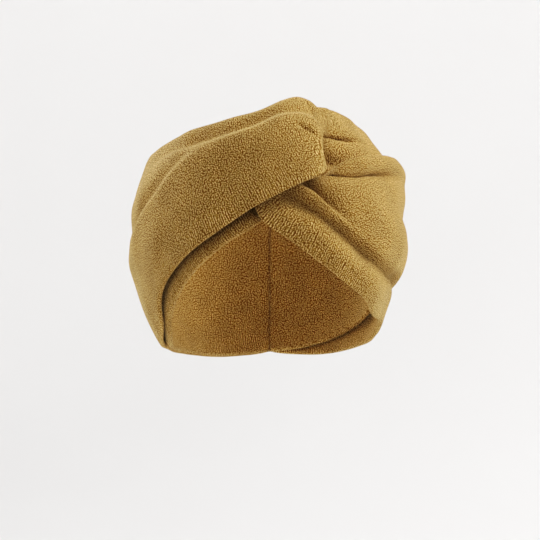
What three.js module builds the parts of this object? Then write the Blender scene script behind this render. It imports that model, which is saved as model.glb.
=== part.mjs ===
// Twist headband: two flat loops of doubled knit cloth, hooked through each other at the front and
// sewn end to end at the back. Millimetres, +Z up. The front of the band looks towards -Y, and the
// origin is the centre of the head that it is worn on. Left and right are as seen from the front.
import * as THREE from 'three';

// Driving dimensions
const HEAD = { halfBreadth: 75, halfLength: 94, halfHeight: 92 };
const BELT_TILT = THREE.MathUtils.degToRad(20); // the band is worn higher at the front than at the back
const WALL = 3; // the strip is a flat tube, so this is two layers of knit
const EDGE_SHARE = 0.7; // share of the wall that is left where a folded edge starts to round over
const KNIT = { color: 0xae8a45, roughness: 0.95, metalness: 0 };

// Fineness of the solids
const POINTS_ACROSS = 21; // points across the strip on each face
const STATION_SPAN = 11; // widest step along the strip, in degrees of longitude
const FEWEST_STEPS = 2; // steps between two sections that lie closer than that
const NARROWEST_FOLD = 3; // half width of the sharpest fold that these points can show, in degrees

// Places are given on the head: longitude 0 is the middle of the forehead and grows to the wearer's
// left, latitude 0 is the middle line of the tilted band, and depth is the height of the middle of
// the cloth above the head in millimetres. A section is a line across the strip, from its first edge
// to its second. bow moves the middle of that line along by some degrees of longitude.
const LEFT_SECTIONS = [
  { at: 'back seam', first: [-179.87, -20.0, 6.0], second: [-179.87, 43.0, 6.0], bow: 0 },
  { at: 'back', first: [-150.0, -27.5, 5.8], second: [-150.0, 42.0, 6.0], bow: 0 },
  { at: 'behind the ear', first: [-120.0, -35.5, 5.2], second: [-120.0, 39.0, 6.8], bow: 0 },
  { at: 'side', first: [-96.0, -41.0, 4.6], second: [-95.0, 35.0, 8.2], bow: 0 },
  { at: 'front of the ear', first: [-73.0, -40.4, 4.9], second: [-70.0, 31.5, 9.2], bow: 0 },
  { at: 'temple', first: [-51.0, -28.2, 6.6], second: [-50.0, 28.6, 9.0], bow: 0 },
  { at: 'brow', first: [-33.0, -19.9, 7.8], second: [-32.0, 26.6, 9.0], bow: 0 },
  { at: 'forehead', first: [-15.5, -12.4, 9.0], second: [-17.0, 27.0, 8.6], bow: 0 },
  { at: 'centre', first: [-4.0, -6.3, 10.2], second: [-3.5, 29.8, 8.8], bow: 0 },
  { at: 'into the twist', first: [5.0, -1.4, 10.8], second: [5.5, 35.4, 9.2], bow: 0 },
  { at: 'twist', first: [11.4, 2.2, 11.0], second: [12.4, 39.2, 9.2], bow: -0.6 },
  { at: 'shoulder', first: [15.4, 4.4, 10.6], second: [17.8, 38.2, 8.6], bow: -1.4 },
  { at: 'start of the bend', first: [17.8, 7.4, 9.2], second: [20.2, 32.3, 8.5], bow: -2 },
  { at: 'bend', first: [18.0, 9.0, 6.4], second: [20.2, 26.2, 6.1], bow: -1.6 },
  { at: 'end of the bend', first: [15.8, 8.6, 3.6], second: [17.0, 22.6, 3.4], bow: -1.2 },
  { at: 'neck', first: [11.6, 6.0, 1.7], second: [11.6, 22.0, 1.7], bow: -0.4 },
  { at: 'under the twist', first: [5.0, -1.0, 1.2], second: [6.0, 22.6, 1.4], bow: 0 },
  { at: 'under the centre', first: [-2.4, -9.9, 1.3], second: [-3.0, 24.4, 1.4], bow: 0 },
  { at: 'under the brow', first: [-17.0, -17.6, 1.3], second: [-17.0, 23.5, 1.4], bow: 0 },
  { at: 'under the temple', first: [-37.0, -27.7, 1.3], second: [-37.0, 22.5, 1.4], bow: 0 },
  { at: 'under, front of the ear', first: [-61.0, -38.6, 0.8], second: [-60.0, 23.0, 1.0], bow: 0 },
  { at: 'under, side', first: [-84.0, -44.6, 0.6], second: [-84.0, 25.0, 0.8], bow: 0 },
  { at: 'under, behind the ear', first: [-112.0, -40.2, 0.8], second: [-112.0, 31.0, 1.2], bow: 0 },
  { at: 'under, back', first: [-146.0, -30.0, 1.4], second: [-146.0, 38.0, 2.0], bow: 0 },
  { at: 'under, back seam', first: [-179.87, -21.5, 2.0], second: [-179.87, 42.0, 2.0], bow: 0 },
];

// The right loop turns flat at the front like a letter C, so its first edge runs round the outside.
const RIGHT_SECTIONS = [
  { at: 'back seam', first: [179.87, -20.0, 6.0], second: [179.87, 43.0, 6.0], bow: 0 },
  { at: 'back', first: [150.0, -25.5, 5.8], second: [150.0, 41.0, 6.5], bow: 0 },
  { at: 'behind the ear', first: [121.0, -29.5, 4.4], second: [121.0, 37.0, 8.0], bow: 0 },
  { at: 'side', first: [98.0, -31.5, 1.8], second: [98.0, 33.5, 10.4], bow: 0 },
  { at: 'front of the ear', first: [80.0, -35.5, 0.2], second: [78.0, 30.5, 12.0], bow: 0 },
  { at: 'cheek', first: [64.0, -36.6, 1.8], second: [60.0, 26.0, 11.4], bow: 0 },
  { at: 'temple', first: [46.0, -32.6, 4.0], second: [46.0, 21.0, 10.2], bow: 0 },
  { at: 'brow', first: [31.0, -28.4, 5.0], second: [34.0, 15.6, 9.2], bow: 0 },
  { at: 'forehead', first: [16.0, -21.7, 5.2], second: [25.0, 11.0, 8.0], bow: 0 },
  { at: 'into the twist', first: [6.0, -15.8, 5.2], second: [18.4, 6.0, 6.2], bow: 0 },
  { at: 'corner', first: [-1.8, -10.4, 5.2], second: [13.6, 4.8, 5.7], bow: 0 },
  { at: 'start of the turn', first: [-5.0, -3.0, 5.4], second: [10.0, 7.0, 5.6], bow: 0 },
  { at: 'turn', first: [-6.0, 10.0, 5.4], second: [8.0, 15.0, 5.6], bow: 0 },
  { at: 'end of the turn', first: [-2.0, 24.0, 5.2], second: [9.0, 23.0, 5.4], bow: 0 },
  { at: 'over the other loop', first: [8.0, 33.5, 4.4], second: [12.4, 28.2, 4.6], bow: 0 },
  { at: 'out of the twist', first: [18.5, 39.6, 4.8], second: [18.0, 30.2, 4.3], bow: 0 },
  { at: 'fan', first: [24.0, 40.0, 5.8], second: [20.0, 24.6, 3.0], bow: 0 },
  { at: 'pocket', first: [28.5, 40.2, 6.0], second: [16.6, 13.0, -1.7], bow: 0 },
  { at: 'foot of the pocket', first: [34.0, 40.8, 6.2], second: [19.0, 2.0, -1.7], bow: 0 },
  { at: 'under the temple', first: [46.0, 41.0, 6.2], second: [40.0, -5.0, -0.6], bow: 0 },
  { at: 'under, front of the ear', first: [66.0, 43.0, 8.0], second: [64.0, -8.0, -0.8], bow: 0 },
  { at: 'under, side', first: [93.0, 39.5, 4.4], second: [92.0, -11.0, -1.4], bow: 0 },
  { at: 'under, behind the ear', first: [120.0, 38.0, 2.4], second: [120.0, -16.0, -0.2], bow: 0 },
  { at: 'under, back', first: [150.0, 40.5, 2.0], second: [150.0, -20.0, 2.0], bow: 0 },
  { at: 'under, back seam', first: [179.87, 42.0, 2.0], second: [179.87, -21.5, 2.0], bow: 0 },
];

// Folds of the outer arms. line lists longitude, latitude and height in millimetres along the fold,
// sorted by longitude. below and above are its half widths on either side, in degrees.
const LEFT_FOLDS = [
  {
    name: 'upper ridge', below: 7, above: 1.7,
    line: [
      [-80, 26, 0.4], [-55, 20, 1], [-32, 16.5, 1.8], [-16, 18.4, 2],
      [-2, 23, 2], [10, 29, 2], [19, 27.5, 1.4],
    ],
  },
  {
    name: 'groove over the upper ridge', below: 2.2, above: 2.6,
    line: [
      [-80, 30, 0], [-55, 24, -0.6], [-32, 20.3, -1.2],
      [-16, 21.8, -1.4], [-2, 26.5, -1.3], [16, 33.5, -0.8],
    ],
  },
  {
    name: 'side ridge', below: 6, above: 1.8,
    line: [
      [-100, 6, 0], [-75, 4, 0.6], [-55, -1, 1.8], [-43, 7.6, 1.6],
      [-32, 9.5, 1.1], [-18, 11.5, 0.5], [-6, 15, 0],
    ],
  },
  {
    name: 'groove over the side ridge', below: 2.4, above: 4,
    line: [
      [-140, 10, 0], [-115, 10, -0.8], [-90, 9.5, -2.6], [-72, 8, -2.4],
      [-55, 3.6, -1.6], [-43, 11.5, -1.2], [-18, 14.5, 0],
    ],
  },
  {
    name: 'upper side bulge', below: 5, above: 5,
    line: [[-125, 20, 0], [-85, 18, 1.2], [-60, 15, 1], [-40, 17, 0.2]],
  },
  {
    name: 'lower side bulge', below: 7, above: 6,
    line: [[-140, 0, 0], [-115, -2, 1], [-90, -4, 1.5], [-75, -7, 1.3], [-55, -10, 1], [-30, -5, 0.4]],
  },
];
const RIGHT_FOLDS = [
  {
    name: 'lower strip', below: 5, above: 4,
    line: [[4, -8, 0.6], [18, -15, 1.4], [36, -23, 1.6], [60, -29, 1.2], [86, -25, 0.2], [125, -22, 0]],
  },
  {
    name: 'valley over the lower strip', below: 4, above: 3.4,
    line: [
      [6, -1.5, -0.6], [17, -8.5, -1.8], [36, -16.6, -3], [50, -20, -3.4],
      [66, -20, -4], [86, -15.6, -4.4], [130, -12, 0],
    ],
  },
  {
    name: 'sharp ridge', below: 3.2, above: 1.2,
    line: [[8, 0.4, 2], [16, -2, 2.2], [26, -6.4, 2.2], [36, -11, 1.4], [48, -15, 0.4]],
  },
  {
    name: 'crease over the sharp ridge', below: 1.1, above: 1.8,
    line: [[8, 3, -2.4], [16, 0.4, -2.6], [26, -4, -2.6], [34, -8.4, -1.2], [44, -13, 0]],
  },
  {
    name: 'belly', below: 6, above: 6,
    line: [[22, 4, 0.4], [40, -2, 1.4], [60, -6, 1.8], [86, -3, 1], [125, -2, 0]],
  },
  {
    name: 'dip over the belly', below: 5, above: 5.5,
    line: [[46, 6, 0], [62, 6.5, -1.6], [84, 10.6, -3.2], [108, 9, -1], [130, 9, 0]],
  },
  {
    name: 'valley under the rolled edge', below: 2.2, above: 1.8,
    line: [[16, 4.2, -1.4], [25, 7.6, -2.6], [36, 11.6, -3.2], [50, 17, -2], [66, 22, 0]],
  },
  {
    name: 'rolled edge', below: 3, above: 3.5,
    line: [[22, 8, 0.6], [36, 14.4, 1.8], [60, 23, 2], [86, 28, 2.4], [125, 30, 0]],
  },
];

// The folds fade out where the strip goes into the twist, between these two sections.
const LEFT_FADE = ['shoulder', 'bend'];
const RIGHT_FADE = ['into the twist', 'start of the turn'];

// A place on the tilted belt, as a point in millimetres.
function place(longitude, latitude, depth) {
  const direction = new THREE.Vector3(0, -1, 0)
    .applyAxisAngle(new THREE.Vector3(-1, 0, 0), THREE.MathUtils.degToRad(latitude))
    .applyAxisAngle(new THREE.Vector3(0, 0, 1), THREE.MathUtils.degToRad(longitude))
    .applyAxisAngle(new THREE.Vector3(-1, 0, 0), BELT_TILT);
  const stretch = Math.hypot(
    direction.x / (HEAD.halfBreadth + depth),
    direction.y / (HEAD.halfLength + depth),
    direction.z / (HEAD.halfHeight + depth),
  );
  return direction.divideScalar(stretch);
}

// Latitude and height of a fold at a longitude, on a smooth curve through the points of its line.
function foldLine(line, longitude) {
  const last = line.length - 1;
  const x = THREE.MathUtils.clamp(longitude, line[0][0], line[last][0]);
  const i = Math.min(line.filter((point) => point[0] <= x).length, last) - 1;
  const span = line[i + 1][0] - line[i][0];
  const t = (x - line[i][0]) / span;
  const slope = (k, column) => {
    const before = line[Math.max(k - 1, 0)];
    const after = line[Math.min(k + 1, last)];
    return (after[column] - before[column]) / (after[0] - before[0]);
  };
  return [1, 2].map((column) => (
    (1 + 2 * t) * (1 - t) ** 2 * line[i][column]
    + t * (1 - t) ** 2 * span * slope(i, column)
    + t ** 2 * (3 - 2 * t) * line[i + 1][column]
    - t ** 2 * (1 - t) * span * slope(i + 1, column)
  ));
}

// Height that one fold adds to the cloth at a place.
function foldHeight(fold, longitude, latitude) {
  const [middle, height] = foldLine(fold.line, longitude);
  const start = fold.line[0];
  const end = fold.line[fold.line.length - 1];
  const lean = (end[1] - start[1]) / (end[0] - start[0]);
  const aside = (latitude - middle) / Math.hypot(1, lean);
  const halfWidth = Math.max(aside < 0 ? fold.below : fold.above, NARROWEST_FOLD);
  return height * Math.exp(-((aside / halfWidth) ** 2));
}

// The middle of the cloth of one loop, as a function of the positions along and across it (0 to 1).
function clothMiddle(sections, folds, fade) {
  const curve = (toPoint) => new THREE.CatmullRomCurve3(sections.map(toPoint));
  const first = curve((section) => new THREE.Vector3(...section.first));
  const second = curve((section) => new THREE.Vector3(...section.second));
  const bow = curve((section, i) => new THREE.Vector3(i, section.bow, 0));
  const [fadeStart, fadeEnd] = fade.map((at) => (
    sections.findIndex((section) => section.at === at) / (sections.length - 1)
  ));
  return (along, across) => {
    const point = first.getPoint(along).lerp(second.getPoint(along), across);
    const longitude = point.x + bow.getPoint(along).y * 4 * across * (1 - across);
    const share = 1 - THREE.MathUtils.smoothstep(along, fadeStart, fadeEnd);
    const height = folds.reduce((sum, fold) => sum + foldHeight(fold, longitude, point.y), 0);
    return place(longitude, point.y, point.z + share * height);
  };
}

// Positions along a loop: each stretch between two sections has steps of at most STATION_SPAN degrees.
function stations(sections) {
  const positions = [0];
  for (let i = 1; i < sections.length; i += 1) {
    const turn = Math.abs(sections[i].first[0] - sections[i - 1].first[0]);
    const steps = Math.max(FEWEST_STEPS, Math.ceil(turn / STATION_SPAN));
    for (let k = 1; k <= steps; k += 1) {
      positions.push((i - 1 + k / steps) / (sections.length - 1));
    }
  }
  return positions;
}

// Closed wall of cloth. Each station is a ring of points: along the outer face, round the second edge,
// back along the inner face and round the first edge. outward is 1 where the cross product of the
// directions along and across the strip points away from the head on the outer arm, and -1 where it
// points inwards.
function loopGeometry(sections, folds, fade, outward) {
  const middle = clothMiddle(sections, folds, fade);
  const half = WALL / 2;
  const nudge = 1e-4;
  const positions = [];
  const rings = stations(sections);
  const ringSize = 2 * POINTS_ACROSS + 2;
  const acrossSteps = Array.from({ length: POINTS_ACROSS }, (_, j) => j / (POINTS_ACROSS - 1));

  for (const along of rings) {
    const samples = acrossSteps.map((across) => {
      const before = Math.max(along - nudge, 0);
      const after = Math.min(along + nudge, 1);
      const low = Math.max(across - nudge, 0);
      const high = Math.min(across + nudge, 1);
      const forward = middle(after, across).sub(middle(before, across));
      const sideways = middle(along, high).sub(middle(along, low)).normalize();
      const normal = forward.cross(sideways).normalize().multiplyScalar(outward);
      return { point: middle(along, across), normal, sideways };
    });
    const halfWall = (j) => (j === 0 || j === POINTS_ACROSS - 1 ? half * EDGE_SHARE : half);
    const firstEdge = samples[0];
    const secondEdge = samples[POINTS_ACROSS - 1];
    const ring = [
      ...samples.map(({ point, normal }, j) => point.clone().addScaledVector(normal, halfWall(j))),
      secondEdge.point.clone().addScaledVector(secondEdge.sideways, half),
      ...samples.map(({ point, normal }, j) => point.clone().addScaledVector(normal, -halfWall(j))).reverse(),
      firstEdge.point.clone().addScaledVector(firstEdge.sideways, -half),
    ];
    ring.forEach((point) => positions.push(point.x, point.y, point.z));
  }

  const triangles = [];
  const quad = (a, b, c, d) => triangles.push([a, b, c], [a, c, d]);
  for (let i = 0; i + 1 < rings.length; i += 1) {
    for (let j = 0; j < ringSize; j += 1) {
      const k = (j + 1) % ringSize;
      const here = i * ringSize;
      const next = here + ringSize;
      quad(here + j, next + j, next + k, here + k);
    }
  }
  // Flat ends at the back seam, closed by pairs of points on the outer and the inner face.
  const endFace = (base, flip) => {
    const face = [];
    const innerOf = (j) => 2 * POINTS_ACROSS - j;
    face.push([0, innerOf(0), ringSize - 1]);
    for (let j = 0; j + 1 < POINTS_ACROSS; j += 1) {
      face.push([j, j + 1, innerOf(j + 1)], [j, innerOf(j + 1), innerOf(j)]);
    }
    face.push([POINTS_ACROSS - 1, POINTS_ACROSS, POINTS_ACROSS + 1]);
    face.forEach((corners) => {
      const placed = corners.map((corner) => base + corner);
      triangles.push(flip ? placed.reverse() : placed);
    });
  };
  endFace(0, false);
  endFace((rings.length - 1) * ringSize, true);

  const geometry = new THREE.BufferGeometry();
  const facing = outward > 0 ? triangles : triangles.map((corners) => [...corners].reverse());
  geometry.setAttribute('position', new THREE.Float32BufferAttribute(positions, 3));
  geometry.setIndex(facing.flat());
  geometry.computeVertexNormals();
  return geometry;
}

function loop(name, sections, folds, fade, outward) {
  const mesh = new THREE.Mesh(
    loopGeometry(sections, folds, fade, outward),
    new THREE.MeshStandardMaterial(KNIT),
  );
  mesh.name = name;
  return mesh;
}

const headband = new THREE.Group();
headband.add(loop('left_loop', LEFT_SECTIONS, LEFT_FOLDS, LEFT_FADE, 1));
headband.add(loop('right_loop', RIGHT_SECTIONS, RIGHT_FOLDS, RIGHT_FADE, -1));

export default headband;
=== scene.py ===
# %% [markdown]
# # A twist headband in mustard crepe knit
# The band is two flat tubes of soft knit. Each is laid into a long loop, the loops are hooked through
# each other at the front, and all four ends are sewn together at the back. In this lesson the two
# loops are worked out as surfaces with numpy, get a procedural knit finish, and are photographed in a
# plain round studio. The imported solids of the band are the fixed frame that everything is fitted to.

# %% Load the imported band
import math

import bpy
import numpy as np
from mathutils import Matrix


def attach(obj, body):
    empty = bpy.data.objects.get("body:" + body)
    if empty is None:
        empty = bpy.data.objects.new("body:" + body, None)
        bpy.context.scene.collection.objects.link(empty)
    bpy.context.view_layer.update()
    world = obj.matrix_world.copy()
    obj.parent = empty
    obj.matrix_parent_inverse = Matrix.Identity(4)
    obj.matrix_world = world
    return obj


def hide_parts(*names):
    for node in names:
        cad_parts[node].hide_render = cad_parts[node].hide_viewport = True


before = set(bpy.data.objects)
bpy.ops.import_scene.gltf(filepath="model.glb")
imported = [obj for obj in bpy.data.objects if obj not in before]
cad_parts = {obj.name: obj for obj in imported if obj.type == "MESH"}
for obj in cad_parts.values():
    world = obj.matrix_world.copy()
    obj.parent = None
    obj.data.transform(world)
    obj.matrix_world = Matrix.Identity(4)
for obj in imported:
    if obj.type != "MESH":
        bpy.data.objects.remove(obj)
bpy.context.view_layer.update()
MM = 0.001  # the shapes below are worked out in millimetres, and Blender's unit is the metre

# %% [markdown]
# ## Places on a globe
# A headband has no straight axis to measure along, so its places are given as on a globe. The globe is
# the egg shape that fills the hollow of the band, and its equator is the middle line of the band, which
# is tilted because the band is worn higher at the front. A place is a longitude, a latitude and a depth,
# which is the height above the globe in millimetres. Cloth that lies on cloth has a larger depth.

# %% The globe and its tilted belt
GLOBE_HALVES = np.array([75.0, 94.0, 92.0])  # half breadth, half length and half height, mm
BELT_TILT = math.radians(20)


def place(longitude, latitude, depth):
    """Points in millimetres.

    The direction of the longitude and latitude is turned about X by the belt's tilt, and is stretched
    to the ellipsoid whose half axes are the globe's, each longer by the depth.
    """
    lon, lat = np.radians(longitude), np.radians(latitude)
    right, front, up = np.cos(lat) * np.sin(lon), np.cos(lat) * np.cos(lon), np.sin(lat)
    tilt_cos, tilt_sin = math.cos(BELT_TILT), math.sin(BELT_TILT)
    direction = np.stack(
        [right, tilt_sin * up - tilt_cos * front, tilt_cos * up + tilt_sin * front], axis=-1
    )
    stretch = np.linalg.norm(direction / (GLOBE_HALVES + depth[..., None]), axis=-1, keepdims=True)
    return direction / stretch


print("front of the globe:", place(*np.zeros((3, 1))).round(1))

# %% [markdown]
# ## The route of each loop
# A loop could be drawn as a long ribbon and bent by a curve modifier, but the ribbon changes its width
# all the way: it is spread at the ear, gathered in the twist and folded back on itself there. So each
# loop is a short table of sections instead. A section is a line across the ribbon from its first edge
# to its second, both on the globe above, and the surface between the sections is smooth. `bow` moves
# the middle of a section along by some degrees. The same sections shape the solids.

# %% Sections of the left loop
# place along the loop, then longitude, latitude, depth of the first edge and of the second, then bow
LEFT_SECTIONS = [
    ("back seam", (-180.0, -20.0, 6.0), (-180.0, 43.0, 6.0), 0),
    ("back", (-150.0, -27.5, 5.8), (-150.0, 42.0, 6.0), 0),
    ("behind the ear", (-120.0, -35.5, 5.2), (-120.0, 39.0, 6.8), 0),
    ("side", (-96.0, -41.0, 4.6), (-95.0, 35.0, 8.2), 0),
    ("front of the ear", (-73.0, -40.4, 4.9), (-70.0, 31.5, 9.2), 0),
    ("temple", (-51.0, -28.2, 6.6), (-50.0, 28.6, 9.0), 0),
    ("brow", (-33.0, -19.9, 7.8), (-32.0, 26.6, 9.0), 0),
    ("forehead", (-15.5, -12.4, 9.0), (-17.0, 27.0, 8.6), 0),
    ("centre", (-4.0, -6.3, 10.2), (-3.5, 29.8, 8.8), 0),
    ("into the twist", (5.0, -1.4, 10.8), (5.5, 35.4, 9.2), 0),
    ("twist", (11.4, 2.2, 11.0), (12.4, 39.2, 9.2), -0.6),
    ("shoulder", (15.4, 4.4, 10.6), (17.8, 38.2, 8.6), -1.4),
    ("start of the bend", (17.8, 7.4, 9.2), (20.2, 32.3, 8.5), -2),
    ("bend", (18.0, 9.0, 6.4), (20.2, 26.2, 6.1), -1.6),
    ("end of the bend", (15.8, 8.6, 3.6), (17.0, 22.6, 3.4), -1.2),
    ("neck", (11.6, 6.0, 1.7), (11.6, 22.0, 1.7), -0.4),
    ("under the twist", (5.0, -1.0, 1.2), (6.0, 22.6, 1.4), 0),
    ("under the centre", (-2.4, -9.9, 1.3), (-3.0, 24.4, 1.4), 0),
    ("under the brow", (-17.0, -17.6, 1.3), (-17.0, 23.5, 1.4), 0),
    ("under the temple", (-37.0, -27.7, 1.3), (-37.0, 22.5, 1.4), 0),
    ("under, front of the ear", (-61.0, -38.6, 0.8), (-60.0, 23.0, 1.0), 0),
    ("under, side", (-84.0, -44.6, 0.6), (-84.0, 25.0, 0.8), 0),
    ("under, behind the ear", (-112.0, -40.2, 0.8), (-112.0, 31.0, 1.2), 0),
    ("under, back", (-146.0, -30.0, 1.4), (-146.0, 38.0, 2.0), 0),
    ("under, back seam", (-180.0, -21.5, 2.0), (-180.0, 42.0, 2.0), 0),
]

# %% Sections of the right loop
# The right loop turns flat at the front like a letter C, so its first edge runs round the outside.
RIGHT_SECTIONS = [
    ("back seam", (180.0, -20.0, 6.0), (180.0, 43.0, 6.0), 0),
    ("back", (150.0, -25.5, 5.8), (150.0, 41.0, 6.5), 0),
    ("behind the ear", (121.0, -29.5, 4.4), (121.0, 37.0, 8.0), 0),
    ("side", (98.0, -31.5, 1.8), (98.0, 33.5, 10.4), 0),
    ("front of the ear", (80.0, -35.5, 0.2), (78.0, 30.5, 12.0), 0),
    ("cheek", (64.0, -36.6, 1.8), (60.0, 26.0, 11.4), 0),
    ("temple", (46.0, -32.6, 4.0), (46.0, 21.0, 10.2), 0),
    ("brow", (31.0, -28.4, 5.0), (34.0, 15.6, 9.2), 0),
    ("forehead", (16.0, -21.7, 5.2), (25.0, 11.0, 8.0), 0),
    ("into the twist", (6.0, -15.8, 5.2), (18.4, 6.0, 6.2), 0),
    ("corner", (-1.8, -10.4, 5.2), (13.6, 4.8, 5.7), 0),
    ("start of the turn", (-5.0, -3.0, 5.4), (10.0, 7.0, 5.6), 0),
    ("turn", (-6.0, 10.0, 5.4), (8.0, 15.0, 5.6), 0),
    ("end of the turn", (-2.0, 24.0, 5.2), (9.0, 23.0, 5.4), 0),
    ("over the other loop", (8.0, 33.5, 4.4), (12.4, 28.2, 4.6), 0),
    ("out of the twist", (18.5, 39.6, 4.8), (18.0, 30.2, 4.3), 0),
    ("fan", (24.0, 40.0, 5.8), (20.0, 24.6, 3.0), 0),
    ("pocket", (28.5, 40.2, 6.0), (16.6, 13.0, -1.7), 0),
    ("foot of the pocket", (34.0, 40.8, 6.2), (19.0, 2.0, -1.7), 0),
    ("under the temple", (46.0, 41.0, 6.2), (40.0, -5.0, -0.6), 0),
    ("under, front of the ear", (66.0, 43.0, 8.0), (64.0, -8.0, -0.8), 0),
    ("under, side", (93.0, 39.5, 4.4), (92.0, -11.0, -1.4), 0),
    ("under, behind the ear", (120.0, 38.0, 2.4), (120.0, -16.0, -0.2), 0),
    ("under, back", (150.0, 40.5, 2.0), (150.0, -20.0, 2.0), 0),
    ("under, back seam", (180.0, 42.0, 2.0), (180.0, -21.5, 2.0), 0),
]
print("sections:", len(LEFT_SECTIONS), "left,", len(RIGHT_SECTIONS), "right")

# %% [markdown]
# ## The edges as smooth curves
# Blender's own Bezier curves would need handles at every section. A Catmull-Rom curve needs none: its
# direction at a point comes from the two neighbours. The centripetal kind is used, which spaces its
# steps by the square root of the distance and so makes no loops where the sections crowd together.

# %% A smooth curve through the rows of a table
SMALLEST_STEP = 1e-4  # so that two equal rows don't divide by zero


def smooth_curve(points, along):
    """Points of a centripetal Catmull-Rom curve; along runs from 0 at the first row to 1 at the last.

    Between two rows the curve is the cubic that starts and ends in them with the slopes of the curve
    through their neighbours. The time between two rows is the square root of their distance.
    """
    rows = np.asarray(points, float)
    rows = np.vstack([2 * rows[0] - rows[1], rows, 2 * rows[-1] - rows[-2]])
    position = np.clip(along, 0, 1) * (len(rows) - 3)
    start = np.minimum(position.astype(int), len(rows) - 4)
    part = (position - start)[:, None]
    before, here, there, after = (rows[start + k] for k in range(4))
    step_in, step, step_out = (
        np.maximum(np.sqrt(np.linalg.norm(b - a, axis=1)), SMALLEST_STEP)[:, None]
        for a, b in ((before, here), (here, there), (there, after))
    )
    slope_here = (here - before) / step_in - (there - before) / (step_in + step) + (there - here) / step
    slope_there = (there - here) / step - (after - here) / (step + step_out) + (after - there) / step_out
    bend = 3 * (there - here) - step * (2 * slope_here + slope_there)
    twist = 2 * (here - there) + step * (slope_here + slope_there)
    return here + step * slope_here * part + bend * part**2 + twist * part**3


def smooth_step(start, end, value):
    """0 before start, 1 after end, and the cubic 3t^2 - 2t^3 in between."""
    part = np.clip((value - start) / (end - start), 0, 1)
    return part * part * (3 - 2 * part)


# %% [markdown]
# ## Folds of the outer cloth
# Knit that is gathered into a twist lies in long soft folds. They could be sculpted, but a table says
# plainly where each one runs. A fold follows a line on the globe with a height along it, and dies away
# to both sides as a bell curve, with one width below the line and another above. A ridge with a narrow
# upper side catches the light like a ledge, and a negative height makes a groove.

# %% Folds of the left panel
# name, width below and above in degrees, line of longitude, latitude and height in mm
LEFT_FOLDS = [
    ("upper ridge", 11, 2.2, [
        (-80, 21, 0), (-60, 19, 0.4), (-39, 18.2, 1.2), (-31, 16.6, 1.9), (-25, 16, 2.2), (-19, 16.2, 2.4),
        (-14, 16.9, 2.4), (-5, 19.5, 2.4), (3, 23.6, 2.3), (7, 25.4, 2.1), (11, 26.5, 1.9), (15, 25.6, 1.4),
        (19, 23, 1),
    ]),
    ("groove over the upper ridge", 2.4, 2.8, [
        (-80, 26, 0), (-55, 23, -0.4), (-32, 20, -0.9), (-16, 20.4, -1.2), (-5, 23.4, -1.3),
        (5, 28.6, -1.2), (16, 31.5, -0.8),
    ]),
    ("side ridge", 8, 2.2, [
        (-100, 0, 0), (-80, -3.4, 0.9), (-64, -2, 1.8), (-55, 1, 2), (-48, 3, 2), (-42, 5.7, 1.8),
        (-35, 9.4, 1.4), (-27, 12.8, 1), (-18, 15, 0.3), (-8, 17, 0),
    ]),
    ("groove over the side ridge", 2.4, 3.6, [
        (-140, 6, 0), (-115, 4, -0.8), (-90, 1, -2), (-75, 0.6, -2), (-64, 1.4, -1.6), (-55, 4.6, -1.3),
        (-42, 9.6, -1), (-32, 14, -0.6), (-20, 17, 0),
    ]),
    ("upper side bulge", 5, 5, [(-125, 18, 0), (-85, 13, 1.2), (-60, 11, 1), (-40, 15, 0.2)]),
    ("lower side bulge", 7, 6, [
        (-140, 0, 0), (-115, -4, 1), (-90, -7, 1.5), (-75, -9, 1.3), (-55, -11, 1), (-30, -5, 0.4),
    ]),
]

# %% Folds of the right panel
RIGHT_FOLDS = [
    ("lower strip", 5, 4, [
        (0, -9, 0), (6, -11.5, 1.2), (18, -17.5, 2.4), (36, -25.5, 2.8), (50, -29, 2.2), (62, -31, 0.8),
        (80, -32, 0), (125, -26, 0),
    ]),
    ("tuck before the ear", 14, 8, [
        (50, -30, 0), (64, -27.5, -1.2), (78, -25.5, -2.8), (92, -22, -3), (108, -19, -1.5), (125, -18, 0),
    ]),
    ("valley over the lower strip", 3.4, 3, [
        (0, -5, 0), (3, -4, -0.8), (6, -3.6, -2.6), (11, -5.2, -3.8), (17, -8, -4), (26, -12.8, -4.4),
        (36, -17.2, -4.8), (50, -20, -4.6), (66, -20, -4.4), (86, -15.6, -4.4), (130, -12, 0),
    ]),
    ("sharp ridge", 2.2, 1.2, [
        (3, 3, 0), (7, 1, 1.6), (12, -1.9, 2.6), (16, -4.4, 2.8), (20, -6.8, 2.4), (26, -9.8, 1.6),
        (34, -13, 0.6), (44, -16, 0),
    ]),
    ("crease over the sharp ridge", 1.1, 3.2, [
        (2, 6.5, 0), (7, 3.8, -0.4), (9.5, 2.3, -1.2), (12, 0.7, -3.9), (16, -2.1, -4.2), (20, -4.5, -3.2),
        (24, -6.6, -1.6), (30, -9.6, -0.4), (36, -12, 0),
    ]),
    ("belly", 6, 6, [(22, 4, 0.6), (40, -2, 1.6), (60, -6, 1.8), (86, -3, 1), (125, -2, 0)]),
    ("dip over the belly", 5, 5.5, [
        (46, 6, 0), (62, 6.5, -1.6), (84, 10.6, -3.2), (108, 9, -1), (130, 9, 0),
    ]),
    ("valley under the rolled edge", 2.4, 1.7, [
        (12, 3.6, 0), (16, 4.6, -1), (25, 7.2, -3.2), (32, 9.8, -5.6), (38, 12.4, -6), (50, 16.8, -4),
        (66, 22, -0.6), (75, 25, 0),
    ]),
    ("crease under the rolled edge", 0.9, 0.8, [
        (11, 4.8, 0), (14, 5.3, -1), (17, 6, -2.4), (25, 7.5, -2.8), (29, 8.9, -2.4), (34, 10.8, -1.2),
        (42, 14, 0),
    ]),
    ("rolled edge", 2.8, 3.5, [
        (20, 8.4, 1), (28, 11, 2), (36, 14.6, 2.6), (60, 23, 2.2), (86, 28, 2.4), (125, 30, 0),
    ]),
]

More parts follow.
